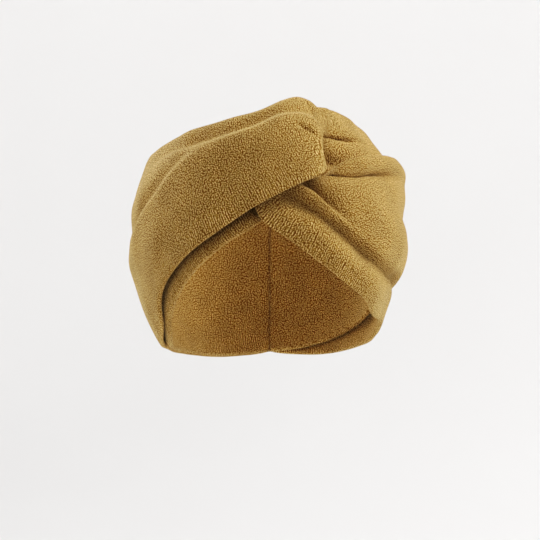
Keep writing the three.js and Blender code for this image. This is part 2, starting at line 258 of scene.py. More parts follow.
# %% Folds of the fan
FAN_FOLDS = [
    ("top lobe", 1.6, 6.5, [
        (9, 26.8, 0), (17, 26.8, 0), (20, 26.8, 0.6), (23, 27, 2), (27.6, 27.5, 2.3), (33, 28.8, 1.5),
        (43, 30.8, 0.6), (55, 33, 0),
    ]),
    ("crease under the top lobe", 1.1, 1.2, [
        (9, 24.8, 0), (14, 24.8, -3), (20, 25, -5), (27.6, 25.7, -4.4), (33, 27, -2.6), (39, 28.4, -1),
        (45, 29.4, 0),
    ]),
    ("fold over the pocket", 4.5, 1.3, [
        (9, 22.6, 0), (17, 22.7, 0), (20, 22.8, 0.4), (23, 22.7, 1.3), (26, 22.6, 1.3), (31, 22.6, 0.8),
        (38, 22.8, 0),
    ]),
    ("pocket", 3, 2.8, [
        (9, 15.6, 0), (14, 15.4, -2.4), (20.4, 15, -5), (24, 14.9, -4.4), (28, 16, -2.4), (33, 18, 0),
    ]),
    ("swell beside the rolled edge", 6, 6, [
        (34, 23, 0), (42, 25, 0.8), (52, 28, 1), (62, 30, 0.8), (75, 33, 0.4), (88, 36, 0),
    ]),
    ("dip behind the fan", 9, 9, [(42, 41, 0), (53, 42, -1.2), (64, 43, -3), (77, 42, -2), (93, 40, 0)]),
]

# %% [markdown]
# ## Shade under an edge
# The lower edge of the left panel stands off the cloth under it, and on the real band a dark line of
# shade runs along the gap. Soft studio lights reach into such a gap too easily. So a few more lines in
# the form of the folds say where cloth lies under an edge. They move nothing and only paint shade into
# the colour of the yarn there: a painted shadow of the edge.

# %% Cloth under the edge of the left panel
# columns as in the folds; the height stands for how deep the cloth lies in the painted shadow
LEFT_PAINTED_SHADOWS = [
    ("inner arm under the panel", 2.4, 20, [
        (-120, -36, 0), (-96, -41, -6), (-73, -40.4, -8), (-51, -28.2, -10), (-33, -19.9, -11),
        (-15.5, -12.4, -11), (-4, -6.3, -10), (5, -1.4, -8),
    ]),
    ("inner arm beside the right strip", 1.4, 10, [
        (-10, 0, 0), (-6.6, -5, -9), (-4.5, -8, -10), (-2.8, -10.6, -9), (-1, -13, 0),
    ]),
]
RIGHT_PAINTED_SHADOWS = [
    ("lower strip under the panel", 4.2, 12, [
        (-6, -7.2, -8), (-4, -6.3, -8), (5, -1.4, -7), (11.4, 2.2, -6), (14, 3.6, -5), (16.5, 5.2, -2),
        (19, 7, 0),
    ]),
]
print("edges with shade under them:", len(LEFT_PAINTED_SHADOWS) + len(RIGHT_PAINTED_SHADOWS))

# %% [markdown]
# ## Heights from the tables
# Two functions turn a table into heights on the globe. The first runs a smooth curve through a line's
# places, and the second adds up the bells of all folds. A fold can be asked for with a least width, which
# leaves only its soft part.

# %% Height of the folds
SOFTEST_WIDTH = 3.0  # degrees: folds of the cloth's body are at least this wide, creases go into its face


def line_value(places, values, longitude):
    """Smooth curve through the values at the places: cubics whose slopes come from the neighbours."""
    slopes = np.gradient(values, places)
    slopes[1:-1] = (values[2:] - values[:-2]) / (places[2:] - places[:-2])
    x = np.clip(longitude, places[0], places[-1])
    left = np.clip(np.searchsorted(places, x, side="right") - 1, 0, len(places) - 2)
    span = places[left + 1] - places[left]
    t = (x - places[left]) / span
    return (
        (1 + 2 * t) * (1 - t) ** 2 * values[left] + t * (1 - t) ** 2 * span * slopes[left]
        + t**2 * (3 - 2 * t) * values[left + 1] - t**2 * (1 - t) * span * slopes[left + 1]
    )


def fold_heights(folds, longitude, latitude, narrowest=0.0):
    """Sum of all folds in mm: height along the line times exp(-(distance / width)^2) across it."""
    total = np.zeros_like(longitude)
    for name, below, above, line in folds:
        line = np.array(line, float)
        middle = line_value(line[:, 0], line[:, 1], longitude)
        height = line_value(line[:, 0], line[:, 2], longitude)
        lean = (line[-1, 1] - line[0, 1]) / (line[-1, 0] - line[0, 0])
        aside = (latitude - middle) / math.hypot(1, lean)
        width = np.maximum(np.where(aside < 0, below, above), narrowest)
        total += height * np.exp(-((aside / width) ** 2))
    return total


print("folds:", len(LEFT_FOLDS), "left,", len(RIGHT_FOLDS), "right,", len(FAN_FOLDS), "in the fan")

# %% [markdown]
# ## Small pleats
# Where the left panel goes into the twist it makes a few short pleats that turn downwards, so a table
# sorted by longitude can't hold them. A pleat is a smooth curve through its points instead, and its
# height depends on the distance to the nearest stretch of that curve.

# %% Pleats of the left panel
# name, width to the left and right of the line's direction in degrees, points as in the folds
LEFT_PLEATS = [
    ("tuck under the upper ridge", 0.9, 0.9, [
        (8.4, 22.2, 0), (9.8, 21.6, -1.1), (11.2, 20.9, -1.7), (12.8, 20.1, -1.7), (14.4, 19, -1),
        (16.2, 17.4, 0),
    ]),
    ("hem of the tuck", 1.2, 2.2, [
        (9.5, 23.6, 0), (12.5, 23.3, 0.4), (15.2, 21.9, 0.6), (17, 19, 0.5), (18, 15.6, 0.2),
        (18.4, 13, 0),
    ]),
    ("groove beside the bend", 1.0, 1.0, [
        (14.5, 37.5, 0), (15.8, 34.5, -0.6), (16.4, 30.8, -0.7), (16.6, 27, -0.3), (16.8, 24.5, 0),
    ]),
]
PLEAT_STRETCHES = 24  # straight stretches that a pleat's curve is cut into


def pleat_heights(pleats, longitude, latitude, narrowest=0.0):
    """Sum of all pleats in mm: the height at the curve's nearest point times exp(-(distance / width)^2)."""
    total = np.zeros_like(longitude)
    for name, left, right, line in pleats:
        line = smooth_curve(line, np.linspace(0, 1, PLEAT_STRETCHES + 1))
        nearest = np.full_like(longitude, np.inf)
        height = np.zeros_like(longitude)
        for start, end in zip(line[:-1], line[1:]):
            run = end[:2] - start[:2]
            x, y = longitude - start[0], latitude - start[1]
            part = np.clip((x * run[0] + y * run[1]) / (run @ run), 0, 1)
            distance = np.hypot(x - part * run[0], y - part * run[1])
            width = np.maximum(np.where(run[0] * y - run[1] * x > 0, left, right), narrowest)
            value = (start[2] + part * (end[2] - start[2])) * np.exp(-((distance / width) ** 2))
            height = np.where(distance < nearest, value, height)
            nearest = np.minimum(nearest, distance)
        total += height
    return total


print("pleats:", [row[0] for row in LEFT_PLEATS])

# %% [markdown]
# ## The middle of the cloth
# One function now gives the middle of the cloth for any position along and across a loop. On its outer
# arm the loop lies outside and has the folds; past the twist it comes back underneath as its inner arm.
# The left loop is folded over there, and only the lower edge of its inner arm shows, under the panel. The
# right loop turns flat, the same face stays outside, and the start of its inner arm shows above the twist
# as a small fan.

# %% The two loops
# fade: sections between which the outer arm gives way to the inner one
# covered_on: arm (1 outer, 0 inner) and face (1 or -1, the share of the wall in a ring) with painted shade
# turn: sections where the UV map goes over to each line's own measure, and those where it comes back
# lean: sections up to which the lean of the ribs is measured, to which it is kept, and where it ends
# map_start: mm at the start of the UV map; the two differ, or the knit would mirror itself at the seam
# outward: sign that turns along x across away from the globe on the outer arm
LEFT = {
    "sections": LEFT_SECTIONS,
    "folds": LEFT_FOLDS,
    "pleats": LEFT_PLEATS,
    "fan": [],
    "painted_shadow": LEFT_PAINTED_SHADOWS,
    "covered_on": (0, -1),
    "fade": ("shoulder", "bend"),
    "turn": ("twist", "shoulder", "end of the bend", "neck"),
    "lean": ("twist", "neck", "under the temple"),
    "map_start": 0.0,
    "outward": 1,
}
RIGHT = {
    "sections": RIGHT_SECTIONS,
    "folds": RIGHT_FOLDS,
    "pleats": [],
    "fan": FAN_FOLDS,
    "painted_shadow": RIGHT_PAINTED_SHADOWS,
    "covered_on": (1, 1),
    "fade": ("corner", "turn"),
    "turn": ("corner", "start of the turn", "pocket", "under the temple"),
    "lean": ("corner", "under the temple", "under, side"),
    "map_start": 731.0,
    "outward": -1,
}


def position_of(loop, at):
    """Position along the loop, from 0 to 1, of a section named in its table."""
    names = [row[0] for row in loop["sections"]]
    return names.index(at) / (len(names) - 1)


def outer_share(loop, along):
    """1 on the outer arm and 0 on the inner one, with a smooth step where the loop turns back."""
    start, end = (position_of(loop, at) for at in loop["fade"])
    return 1 - smooth_step(start, end, along)


def on_the_globe(loop, along, across):
    """Longitude, latitude and depth without folds, for arrays of positions along (rings) and across.

    The two edges are smooth curves through the sections' ends, and a point between them is their
    weighted mean. The bow adds 4 w (1 - w) times its degrees to the longitude.
    """
    first = smooth_curve([row[1] for row in loop["sections"]], along)
    second = smooth_curve([row[2] for row in loop["sections"]], along)
    bow = smooth_curve([(i, row[3]) for i, row in enumerate(loop["sections"])], along)[:, 1]
    spread = first[:, None] + (second - first)[:, None] * across[None, :, None]
    longitude = spread[..., 0] + bow[:, None] * 4 * across * (1 - across)
    return longitude, spread[..., 1], spread[..., 2]


def all_folds(loop, along, longitude, latitude, narrowest=0.0):
    """Height in mm of the folds and pleats: those of the outer arm fade out as those of the fan fade in."""
    share = outer_share(loop, along)[:, None]
    outer = fold_heights(loop["folds"], longitude, latitude, narrowest)
    outer = outer + pleat_heights(loop["pleats"], longitude, latitude, narrowest)
    fan = fold_heights(loop["fan"], longitude, latitude, narrowest)
    return share * outer + (1 - share) * fan


def cloth_middle(loop, along, across):
    """Points of the middle of the cloth in mm: the route, raised by the broad part of the folds."""
    longitude, latitude, depth = on_the_globe(loop, along, across)
    return place(longitude, latitude, depth + all_folds(loop, along, longitude, latitude, SOFTEST_WIDTH))


# %% [markdown]
# ## Rings along the loop
# The mesh is a row of rings, each one round the flat tube. The twist and the front need many rings and
# the plain back needs few, so a small table gives the distance between rings at some of the sections.

# %% Spread the rings
LEFT["steps"] = [
    ("back seam", 1.5), ("side", 1.1), ("brow", 0.9), ("shoulder", 0.7), ("start of the bend", 0.4),
    ("end of the bend", 0.4), ("under the centre", 1.4), ("under, back", 2.2), ("under, back seam", 1.5),
]
RIGHT["steps"] = [
    ("back seam", 1.5), ("side", 1.1), ("forehead", 0.8), ("corner", 1.0), ("turn", 1.4),
    ("out of the twist", 0.9), ("under the temple", 1.3), ("under, back", 2.2),
    ("under, back seam", 1.5),
]
FINE_STEPS = 4000  # stretches in which the middle line is measured


def path_length(points):
    """Length in mm from the first point to each point of a row of points."""
    return np.concatenate([[0], np.cumsum(np.linalg.norm(np.diff(points, axis=0), axis=1))])


def spread_rings(loop):
    """Positions along the loop and their distances in mm along its middle line.

    The middle line is measured finely, each short stretch counts as its length over the step wanted
    there, and the rings are spread evenly over that count.
    """
    fine = np.linspace(0, 1, FINE_STEPS + 1)
    length = path_length(cloth_middle(loop, fine, np.array([0.5]))[:, 0])
    places = [position_of(loop, at) for at, step in loop["steps"]]
    step = np.interp(fine, places, [step for at, step in loop["steps"]])
    count = np.concatenate([[0], np.cumsum(np.diff(length) / step[1:])])
    along = np.interp(np.linspace(0, count[-1], round(count[-1]) + 1), count, fine)
    return along, np.interp(along, fine, length)


for label, loop in (("left", LEFT), ("right", RIGHT)):
    loop["along"], loop["distance"] = spread_rings(loop)
    print(f"{label}: {len(loop['along'])} rings, {loop['distance'][-1]:.0f} mm long")

# %% [markdown]
# ## The section of the tube
# The cloth is doubled, so each ring is a flat oval: an outer face, a rounded fold at one edge, an inner
# face and a rounded fold at the other edge. The folds were never pressed, so they are a little thicker
# than the rest, like a soft bead. A Solidify modifier would give one even wall. Here the ring is listed
# as positions across the strip with a share of the wall (1 outer face, -1 inner face) and a share of the
# edge (how far it stands out sideways). It starts on the inner face where nobody looks, because the
# cloth's pattern has its seam there.

# %% The ring
POINTS_OUTER, POINTS_INNER, POINTS_EDGE = 104, 62, 7
RING_START = 0.85  # position across, on the inner face
WALL = 3.0  # mm, two layers of knit
EDGE_BEAD = 0.15  # mm that a folded edge is thicker, on each face
BEAD_PLACE, BEAD_WIDTH = 2.6, 2.2  # mm from the edge

inner_down = round(POINTS_INNER * RING_START)
edge_angle = np.linspace(0, math.pi, POINTS_EDGE + 2)[1:-1]
RING_ACROSS = np.concatenate([
    np.linspace(RING_START, 0, inner_down),
    np.zeros(POINTS_EDGE),
    np.linspace(0, 1, POINTS_OUTER),
    np.ones(POINTS_EDGE),
    np.linspace(1, RING_START, POINTS_INNER - inner_down, endpoint=False),
])
RING_WALL = np.concatenate([
    -np.ones(inner_down), -np.cos(edge_angle), np.ones(POINTS_OUTER), np.cos(edge_angle),
    -np.ones(POINTS_INNER - inner_down),
])
RING_EDGE = np.concatenate([
    np.zeros(inner_down), -np.sin(edge_angle), np.zeros(POINTS_OUTER), np.sin(edge_angle),
    np.zeros(POINTS_INNER - inner_down),
])
RING_CENTRE = inner_down + POINTS_EDGE + POINTS_OUTER // 2  # the middle of the outer face
RING_LOW = inner_down + POINTS_EDGE + POINTS_OUTER // 6  # near the first edge, on the outer face
RING_FIRST = inner_down + POINTS_EDGE // 2  # the first edge itself
print("points in a ring:", len(RING_ACROSS))

# %% [markdown]
# ## Looseness and the back seam
# Real cloth is never quite even. A few long shallow waves with fixed phases keep the panels from
# looking machined. At the back the four ends are sewn together: the seam pulls the cloth in to a
# groove, and the stitches gather it into small puckers that die away within a few centimetres.

# %% Waves, seam groove and puckers
WAVES = [  # length along and across in mm, phase in turns, height in mm
    (61, 190, 0.10, 0.22),
    (38, -95, 0.45, 0.16),
    (27, 70, 0.80, 0.10),
    (-83, 44, 0.25, 0.18),
    (19, -52, 0.60, 0.06),
]
SEAM_GROOVE, SEAM_WIDTH = 0.5, 1.8  # mm
# painted shade in the seam's groove, through the fold attribute
SEAM_SHADE = 7.0  # mm, depth of the shade in the groove, as in the folds
PUCKER_HEIGHT, PUCKER_PITCH, PUCKER_REACH = 0.45, 8.5, 11.0  # mm
PUCKER_SWING, PUCKER_SWING_LENGTH = 1.3, 9.0  # radians and mm: the puckers aren't evenly spaced


def loose_waves(distance, side):
    """Sum of plane waves: height times the sine of the position over both lengths plus the phase."""
    return sum(
        height * np.sin(2 * math.pi * (distance / length + side / width + phase))
        for length, width, phase, height in WAVES
    )


def seam_shape(to_seam, side):
    """A groove, exp(-(d / width)^2), and puckers, a sine across the strip that dies away with d."""
    swing = PUCKER_SWING * np.sin(side / PUCKER_SWING_LENGTH)
    pucker = np.sin(2 * math.pi * side / PUCKER_PITCH + swing)
    fade = np.exp(-to_seam / PUCKER_REACH)
    return PUCKER_HEIGHT * pucker * fade - SEAM_GROOVE * np.exp(-((to_seam / SEAM_WIDTH) ** 2))


# %% [markdown]
# ## From the middle of the cloth to its two faces
# Every point of a ring stands off the middle by half the wall along the surface's own direction, plus
# the fine creases on the outer face. Creases that are sharper than the wall is thick would fold through
# themselves if they bent the middle, so they are pressed into the face only. A Displace modifier could
# do that from a texture, but it knows nothing of the two faces. How deep a point lies in the folds is
# kept for the painted shade that darkens the knit's colour in folds, under an edge and in the seam.

# %% Directions of the cloth
NUDGE = 4e-4  # step for the slopes, as a share of the loop


def unit(vectors):
    """The same directions with length 1."""
    return vectors / np.maximum(np.linalg.norm(vectors, axis=-1, keepdims=True), 1e-12)


def cloth_directions(loop):
    """Directions off the cloth and sideways across it, at all points of all rings.

    The slopes along and across are worked out by small nudges. The first direction is their cross
    product, and the second is the slope across.
    """
    along = loop["along"]
    forward = cloth_middle(loop, np.minimum(along + NUDGE, 1), RING_ACROSS) - cloth_middle(
        loop, np.maximum(along - NUDGE, 0), RING_ACROSS
    )
    sideways = unit(
        cloth_middle(loop, along, np.minimum(RING_ACROSS + NUDGE, 1))
        - cloth_middle(loop, along, np.maximum(RING_ACROSS - NUDGE, 0))
    )
    return loop["outward"] * unit(np.cross(forward, sideways)), sideways


# %% Faces of a loop
DEEPEST_CREASE = -2.2  # mm, so that a crease stays inside the wall


def cloth_surface(loop):
    """Points of all rings in mm, as an array of rings by ring points by 3.

    point = middle + normal * (wall share * (half wall + bead) + detail of that face) + sideways * edge
    share * (half wall + bead). The depth of every point in the folds is kept in the loop, with made-up
    depths under an edge and in the seam's groove, for painted shade in the knit's colour.
    """
    along, distance = loop["along"], loop["distance"]
    middle = cloth_middle(loop, along, RING_ACROSS)
    normal, sideways = cloth_directions(loop)
    width = np.linalg.norm(middle[:, RING_CENTRE + 1] - middle[:, RING_CENTRE], axis=-1) * POINTS_OUTER
    to_edge = np.minimum(RING_ACROSS, 1 - RING_ACROSS) * width[:, None]
    share = outer_share(loop, along)[:, None]
    out_of_twist = (2 * share - 1) ** 2
    bead = EDGE_BEAD * out_of_twist * np.exp(-(((to_edge - BEAD_PLACE) / BEAD_WIDTH) ** 2))

    longitude, latitude, _ = on_the_globe(loop, along, RING_ACROSS)
    fine = all_folds(loop, along, longitude, latitude)
    creases = fine - all_folds(loop, along, longitude, latitude, SOFTEST_WIDTH)
    side = (RING_ACROSS - 0.5) * width[:, None]
    to_seam = np.minimum(distance, distance[-1] - distance)[:, None]
    waves = loose_waves(distance[:, None], side) * out_of_twist
    facing_out, facing_in = np.clip(RING_WALL, 0, 1), np.clip(-RING_WALL, 0, 1)
    detail = facing_out * (creases + waves) - facing_in * waves + seam_shape(to_seam, side)
    # painted shade: the fold attribute is the depth in the folds plus a painted shadow under an edge
    arm, face = loop["covered_on"]
    painted_shadow = fold_heights(loop["painted_shadow"], longitude, latitude) * (1 - np.abs(share - arm))
    loop["fold"] = facing_out * fine + np.clip(face * RING_WALL, 0, 1) * painted_shadow
    # painted shade along the seam's groove, half as strong on the inner arm
    loop["fold"] -= SEAM_SHADE * (1 + share) / 2 * np.exp(-((to_seam / SEAM_WIDTH) ** 2))

    half = WALL / 2 + bead
    off = RING_WALL * half + np.sign(RING_WALL) * np.maximum(detail, DEEPEST_CREASE)
    return middle + normal * off[..., None] + sideways * (RING_EDGE * half)[..., None]


for label, loop in (("left", LEFT), ("right", RIGHT)):
    loop["points"] = cloth_surface(loop)
    print(label, "from", loop["points"].min((0, 1)).round(1), "to", loop["points"].max((0, 1)).round(1))

# %% [markdown]
# ## Into a Blender mesh
# The rings become a mesh of quads, with one flat face at each end inside the back seam. The UV map is in
# metres of real cloth: u counts the distance from the back seam along the strip, and v the distance round
# the tube from the middle of the outer face. A knit drawn on it keeps its size nearly everywhere.
#
# Blender's own unwrapping would cut the tube anywhere, so the map is worked out from the rings. On the
# outer arm u is measured near the first edge, which shows most. In the turn every line of points has its
# own measure, because the inside of the turn is shorter than its outside. Ribs of a knit run square to an
# edge and the rings don't, so u also leans by the angle between them, near that edge only.

# %% UV map of a loop
RIB_REACH = 20.0  # mm from the first edge within which the ribs of the knit stay square to it
LEAN_BLUR = 14.0  # mm along the strip over which the lean of the ribs is evened out


def rib_lean(loop):
    """Cosine of the angle between the first edge and the ring, for every ring.

    It is a mean with weights exp(-(d / blur)^2) along the outer arm. Through the turn it keeps its last
    value, and it fades out on the inner arm.
    """
    points, along, distance = loop["points"], loop["along"], loop["distance"]
    last, fade, gone = (position_of(loop, at) for at in loop["lean"])
    edge_run = unit(np.gradient(points[:, RING_LOW], axis=0))
    cosine = (edge_run * unit(points[:, RING_CENTRE] - points[:, RING_LOW])).sum(axis=1)
    weights = np.exp(-((np.subtract.outer(distance, distance) / LEAN_BLUR) ** 2)) * (along <= last)
    mean = (weights @ cosine) / np.maximum(weights.sum(axis=1), 1e-9)
    held = np.where(along <= last, mean, mean[along <= last][-1])
    return held * (1 - smooth_step(fade, gone, along))


def strip_map(loop):
    """UV map in mm of all points of all rings, with the first point of a ring once more at its end.

    v is the distance round the ring from the middle of the outer face. u is the sum of the steps along
    the strip, plus lean * reach * tanh(distance from the low line / reach).
    """
    points, along = loop["points"], loop["along"]
    around = np.concatenate([points, points[:, :1]], axis=1)
    v = np.cumsum(np.linalg.norm(np.diff(around, axis=1), axis=2), axis=1)
    v = np.concatenate([np.zeros((len(points), 1)), v], axis=1)
    v -= v[:, RING_CENTRE : RING_CENTRE + 1]

    own_steps = np.linalg.norm(np.diff(around, axis=0), axis=2)
    low_steps = own_steps[:, RING_LOW : RING_LOW + 1]
    middle_steps = np.diff(loop["distance"])[:, None]
    even_steps = middle_steps + outer_share(loop, along)[1:, None] * (low_steps - middle_steps)
    enter, inside, leave, out = (position_of(loop, at) for at in loop["turn"])
    turning = smooth_step(enter, inside, along) - smooth_step(leave, out, along)
    steps = even_steps + turning[1:, None] * (own_steps - even_steps)
    u = np.concatenate([np.zeros((1, around.shape[1])), np.cumsum(steps, axis=0)])
    from_low = v - v[:, RING_LOW : RING_LOW + 1]
    u += rib_lean(loop)[:, None] * RIB_REACH * np.tanh(from_low / RIB_REACH)
    return u + loop["map_start"], v


# %% Mesh of a loop
def cloth_piece(name, loop):
    """Object made of the loop's rings, with faces pointing out and a UV map named cloth.

    Quad (i, j) joins points j and j + 1 of ring i to the same points of ring i + 1. The point attributes
    fold and from_edge hold the depth for the painted shade (in the folds, under an edge and in the seam)
    and the distance from the first edge, both in mm.
    """
    points = loop["points"]
    rings, count, _ = points.shape
    i, j = np.meshgrid(np.arange(rings - 1), np.arange(count), indexing="ij")
    corner_ring = np.stack([i, i + 1, i + 1, i], axis=-1).reshape(-1, 4)
    corner_step = np.stack([j, j, j + 1, j + 1], axis=-1).reshape(-1, 4)
    if loop["outward"] < 0:
        corner_ring, corner_step = corner_ring[:, ::-1], corner_step[:, ::-1]
    quads = corner_ring * count + corner_step % count
    start_cap = np.arange(count)[:: loop["outward"]]
    end_cap = (rings - 1) * count + np.arange(count)[:: -loop["outward"]]
    faces = quads.tolist() + [start_cap.tolist(), end_cap.tolist()]
    mesh = bpy.data.meshes.new(name)
    mesh.from_pydata((points.reshape(-1, 3) * MM).tolist(), [], faces)

    u, v = strip_map(loop)
    corners = np.stack([u, v], axis=-1)[corner_ring, corner_step].reshape(-1, 2)
    cap_corners = np.zeros((2 * count, 2))
    layer = mesh.uv_layers.new(name="cloth")
    layer.data.foreach_set("uv", (np.concatenate([corners, cap_corners]) * MM).ravel())
    from_edge = np.abs(v - v[:, RING_FIRST : RING_FIRST + 1])[:, :count]
    for attribute, values in (("fold", loop["fold"]), ("from_edge", from_edge)):
        mesh.attributes.new(attribute, "FLOAT", "POINT").data.foreach_set("value", values.ravel())
    mesh.polygons.foreach_set("use_smooth", np.ones(len(faces), bool))
    mesh.update()

    piece = bpy.data.objects.new(name, mesh)
    bpy.context.scene.collection.objects.link(piece)
    triangles = sum(len(polygon.vertices) - 2 for polygon in mesh.polygons)
    print(name, "has", len(mesh.vertices), "points and", triangles, "triangles")
    return piece


left_strip = cloth_piece("left_strip", LEFT)
right_strip = cloth_piece("right_strip", RIGHT)

# %% [markdown]
# ## The crepe knit
# Crepe yarn is overtwisted, so its stitches crowd into an uneven grain of light dots and dark gaps. They
# still stand in rows, and near the edges they line up in ribs that run across the strip. A picture of such
# cloth would show its repeats, so the knit is built from textures on the cloth's own UV map. A Voronoi
# texture in two dimensions is a grid of stitches, each a little out of line, and the distance to the
# nearest one is the roundness of its yarn. A noise adds fluff, and a cosine along the strip the ribs.
#
# Their sum is the height of the yarn. It drives the bump and the colour, dark in the gaps and light on
# the crests: partly the yarn's own grain, partly painted shade in the gaps and painted highlight on the
# crests. The colour is also darkened by painted shade where the cloth lies deep in a fold, under an edge
# or in the seam's groove. The soft nap lightens the cloth where it is seen edge on, which is what sheen
# does.

# %% Node helpers
def add_node(tree, kind, settings=None, **inputs):
    """New node of a kind, with its settings and its input values or links by name."""
    node = tree.nodes.new(kind)
    for key, value in (settings or {}).items():
        setattr(node, key, value)
    for key, value in inputs.items():
        connect(tree, value, node.inputs[key.replace("_", " ")])
    return node


def connect(tree, value, socket):
    """Links an output to the socket, or sets the socket to a plain value."""
    if isinstance(value, bpy.types.NodeSocket):
        tree.links.new(value, socket)
    else:
        socket.default_value = value


def arithmetic(tree, operation, *values):
    """Result of a Math node; values are numbers or outputs of other nodes."""
    node = add_node(tree, "ShaderNodeMath", {"operation": operation})
    for value, socket in zip(values, node.inputs):
        connect(tree, value, socket)
    return node.outputs["Value"]


def map_range(tree, value, start, end, low, high):
    """Carries start to end over to low to high, and stays there outside."""
    return add_node(
        tree, "ShaderNodeMapRange", Value=value, From_Min=start, From_Max=end, To_Min=low, To_Max=high
    ).outputs["Result"]


def flat_noise(tree, place, scale, detail, output="Fac"):
    """Noise on the flat cloth, scale in waves per unit of the place."""
    return add_node(
        tree, "ShaderNodeTexNoise", {"noise_dimensions": "2D"}, Vector=place, Scale=scale, Detail=detail
    ).outputs[output]


def colour_ramp(tree, value, stops):
    """Colour between the stops, which are rows of a value and a colour from the lowest to the highest."""
    node = add_node(tree, "ShaderNodeValToRGB", Fac=value)
    elements = node.color_ramp.elements
    for element, (position, colour) in zip(elements, (stops[0], stops[-1])):
        element.position = position
        element.color = colour
    for position, colour in stops[1:-1]:
        elements.new(position).color = colour
    return node.outputs["Color"]


# %% Values of the knit
STITCH_ALONG, STITCH_ACROSS = 1.05, 1.0  # mm, between the stitches
STITCH_JITTER = 0.63  # share of that distance by which a stitch may be out of line
STITCH_ROUND = 0.5  # share of that distance at which the yarn's height has gone down to 0
STITCH_DRIFT, DRIFT_WAVES = 1.2, 0.3  # mm, and waves per mm
FLUFF_WAVES, FLUFF_HEIGHT = 1.8, 0.6  # waves per stitch, and height where a stitch has 1
PATCH_WAVES = 0.06  # per mm, broad uneven patches
PATCH_RIBS = (0.35, 0.6, 0.4, 1.2)  # from the patches to shares of the ribs' height
PATCH_SHADE = (0.3, 0.7, 0.93, 1.07)  # from the patches to shares of the colour
RIB_PITCH = 1.45  # mm
RIB_FADE = (3.0, 25.0, 0.3, 0.07)  # from mm beside the first edge to heights of the ribs
# painted shade: darker colour in the folds, under an edge and in the seam's groove
FOLD_SHADE = (-14.0, -0.5, 0.28, 1.0)  # from fold heights in mm to shares of the colour
# partly yarn grain, partly painted shade in the gaps and painted highlight on the crests
YARN_COLOURS_AND_PAINTED_LIGHT = [  # height of the yarn, colour
    (0.13, (0.155, 0.062, 0.001, 1)),
    (0.35, (0.43, 0.245, 0.047, 1)),
    (0.60, (0.84, 0.57, 0.235, 1)),
]
YARN_BUMP, YARN_DEPTH = 0.6, 0.0005  # strength, and m for a height of 1
NAP = {  # inputs of the shader that stay the same all over the cloth
    "Roughness": 0.92,
    "Specular IOR Level": 0.2,
    "Sheen Weight": 0.4,
    "Sheen Roughness": 0.4,
    "Sheen Tint": (1.0, 0.8, 0.38, 1),
}


# %% Height of the yarn
def yarn_height(tree, per_mm, patches):
    """Height of the yarn on the flat cloth, about 0 to 1, from a place in mm and the broad patches.

    It is 1 - distance to the nearest stitch / roundness, plus fluff, plus the ribs' cosine.
    """
    drift = add_node(tree, "ShaderNodeVectorMath", {"operation": "MULTIPLY_ADD"})
    connect(tree, flat_noise(tree, per_mm, DRIFT_WAVES, 1.0, "Color"), drift.inputs[0])
    connect(tree, (STITCH_DRIFT, STITCH_DRIFT, 0), drift.inputs[1])
    connect(tree, per_mm, drift.inputs[2])
    drifted = drift.outputs["Vector"]
    stitch_place = add_node(
        tree, "ShaderNodeMapping", Vector=drifted, Scale=(1 / STITCH_ALONG, 1 / STITCH_ACROSS, 1)
    ).outputs["Vector"]
    to_stitch = add_node(
        tree, "ShaderNodeTexVoronoi", {"voronoi_dimensions": "2D", "feature": "F1"},
        Vector=stitch_place, Scale=1.0, Randomness=STITCH_JITTER,
    ).outputs["Distance"]
    stitches = map_range(tree, to_stitch, 0.0, STITCH_ROUND, 1.0, 0.0)
    fluff = flat_noise(tree, stitch_place, FLUFF_WAVES, 0.0)
    level = arithmetic(tree, "SUBTRACT", stitches, FLUFF_HEIGHT / 2)
    grain = arithmetic(tree, "MULTIPLY_ADD", fluff, FLUFF_HEIGHT, level)

    along = add_node(tree, "ShaderNodeSeparateXYZ", Vector=drifted).outputs["X"]
    ribs = arithmetic(tree, "COSINE", arithmetic(tree, "MULTIPLY", along, 2 * math.pi / RIB_PITCH))
    from_edge = add_node(tree, "ShaderNodeAttribute", {"attribute_name": "from_edge"}).outputs["Fac"]
    rib_height = arithmetic(
        tree, "MULTIPLY", map_range(tree, from_edge, *RIB_FADE), map_range(tree, patches, *PATCH_RIBS)
    )
    return arithmetic(tree, "MULTIPLY_ADD", ribs, rib_height, grain)


# %% Knit material
def knit_material():
    """Mustard crepe knit on the UV map named cloth."""
    material = bpy.data.materials.new("mustard_crepe_knit")
    material.use_nodes = True
    tree = material.node_tree
    shader = tree.nodes["Principled BSDF"]
    cloth = add_node(tree, "ShaderNodeUVMap", {"uv_map": "cloth"}).outputs["UV"]
    per_mm = add_node(tree, "ShaderNodeMapping", Vector=cloth, Scale=(1 / MM, 1 / MM, 1)).outputs["Vector"]
    patches = flat_noise(tree, per_mm, PATCH_WAVES, 2.0)
    height = yarn_height(tree, per_mm, patches)

    # colour of the yarn, partly painted shade in its gaps and painted highlight on its crests
    yarn = colour_ramp(tree, height, YARN_COLOURS_AND_PAINTED_LIGHT)
    # painted shade in folds, under an edge and in the seam, times the random tone of the broad patches
    fold = add_node(tree, "ShaderNodeAttribute", {"attribute_name": "fold"}).outputs["Fac"]
    shade = arithmetic(
        tree, "MULTIPLY", map_range(tree, fold, *FOLD_SHADE), map_range(tree, patches, *PATCH_SHADE)
    )
    colour = add_node(tree, "ShaderNodeVectorMath", {"operation": "SCALE"}, Vector=yarn, Scale=shade)
    connect(tree, colour.outputs["Vector"], shader.inputs["Base Color"])
    bump = add_node(tree, "ShaderNodeBump", Height=height, Strength=YARN_BUMP, Distance=YARN_DEPTH)
    connect(tree, bump.outputs["Normal"], shader.inputs["Normal"])
    for name, value in NAP.items():
        shader.inputs[name].default_value = value
    print("knit material:", len(tree.nodes), "nodes")
    return material


knit = knit_material()

# %% [markdown]
# ## The pieces join the frame
# Each strip takes the place of its plain solid, rides on the band's only body and gets the knit
# material. It is a flat tube of cloth, stretched as when the band is worn and hooked through the other
# strip.

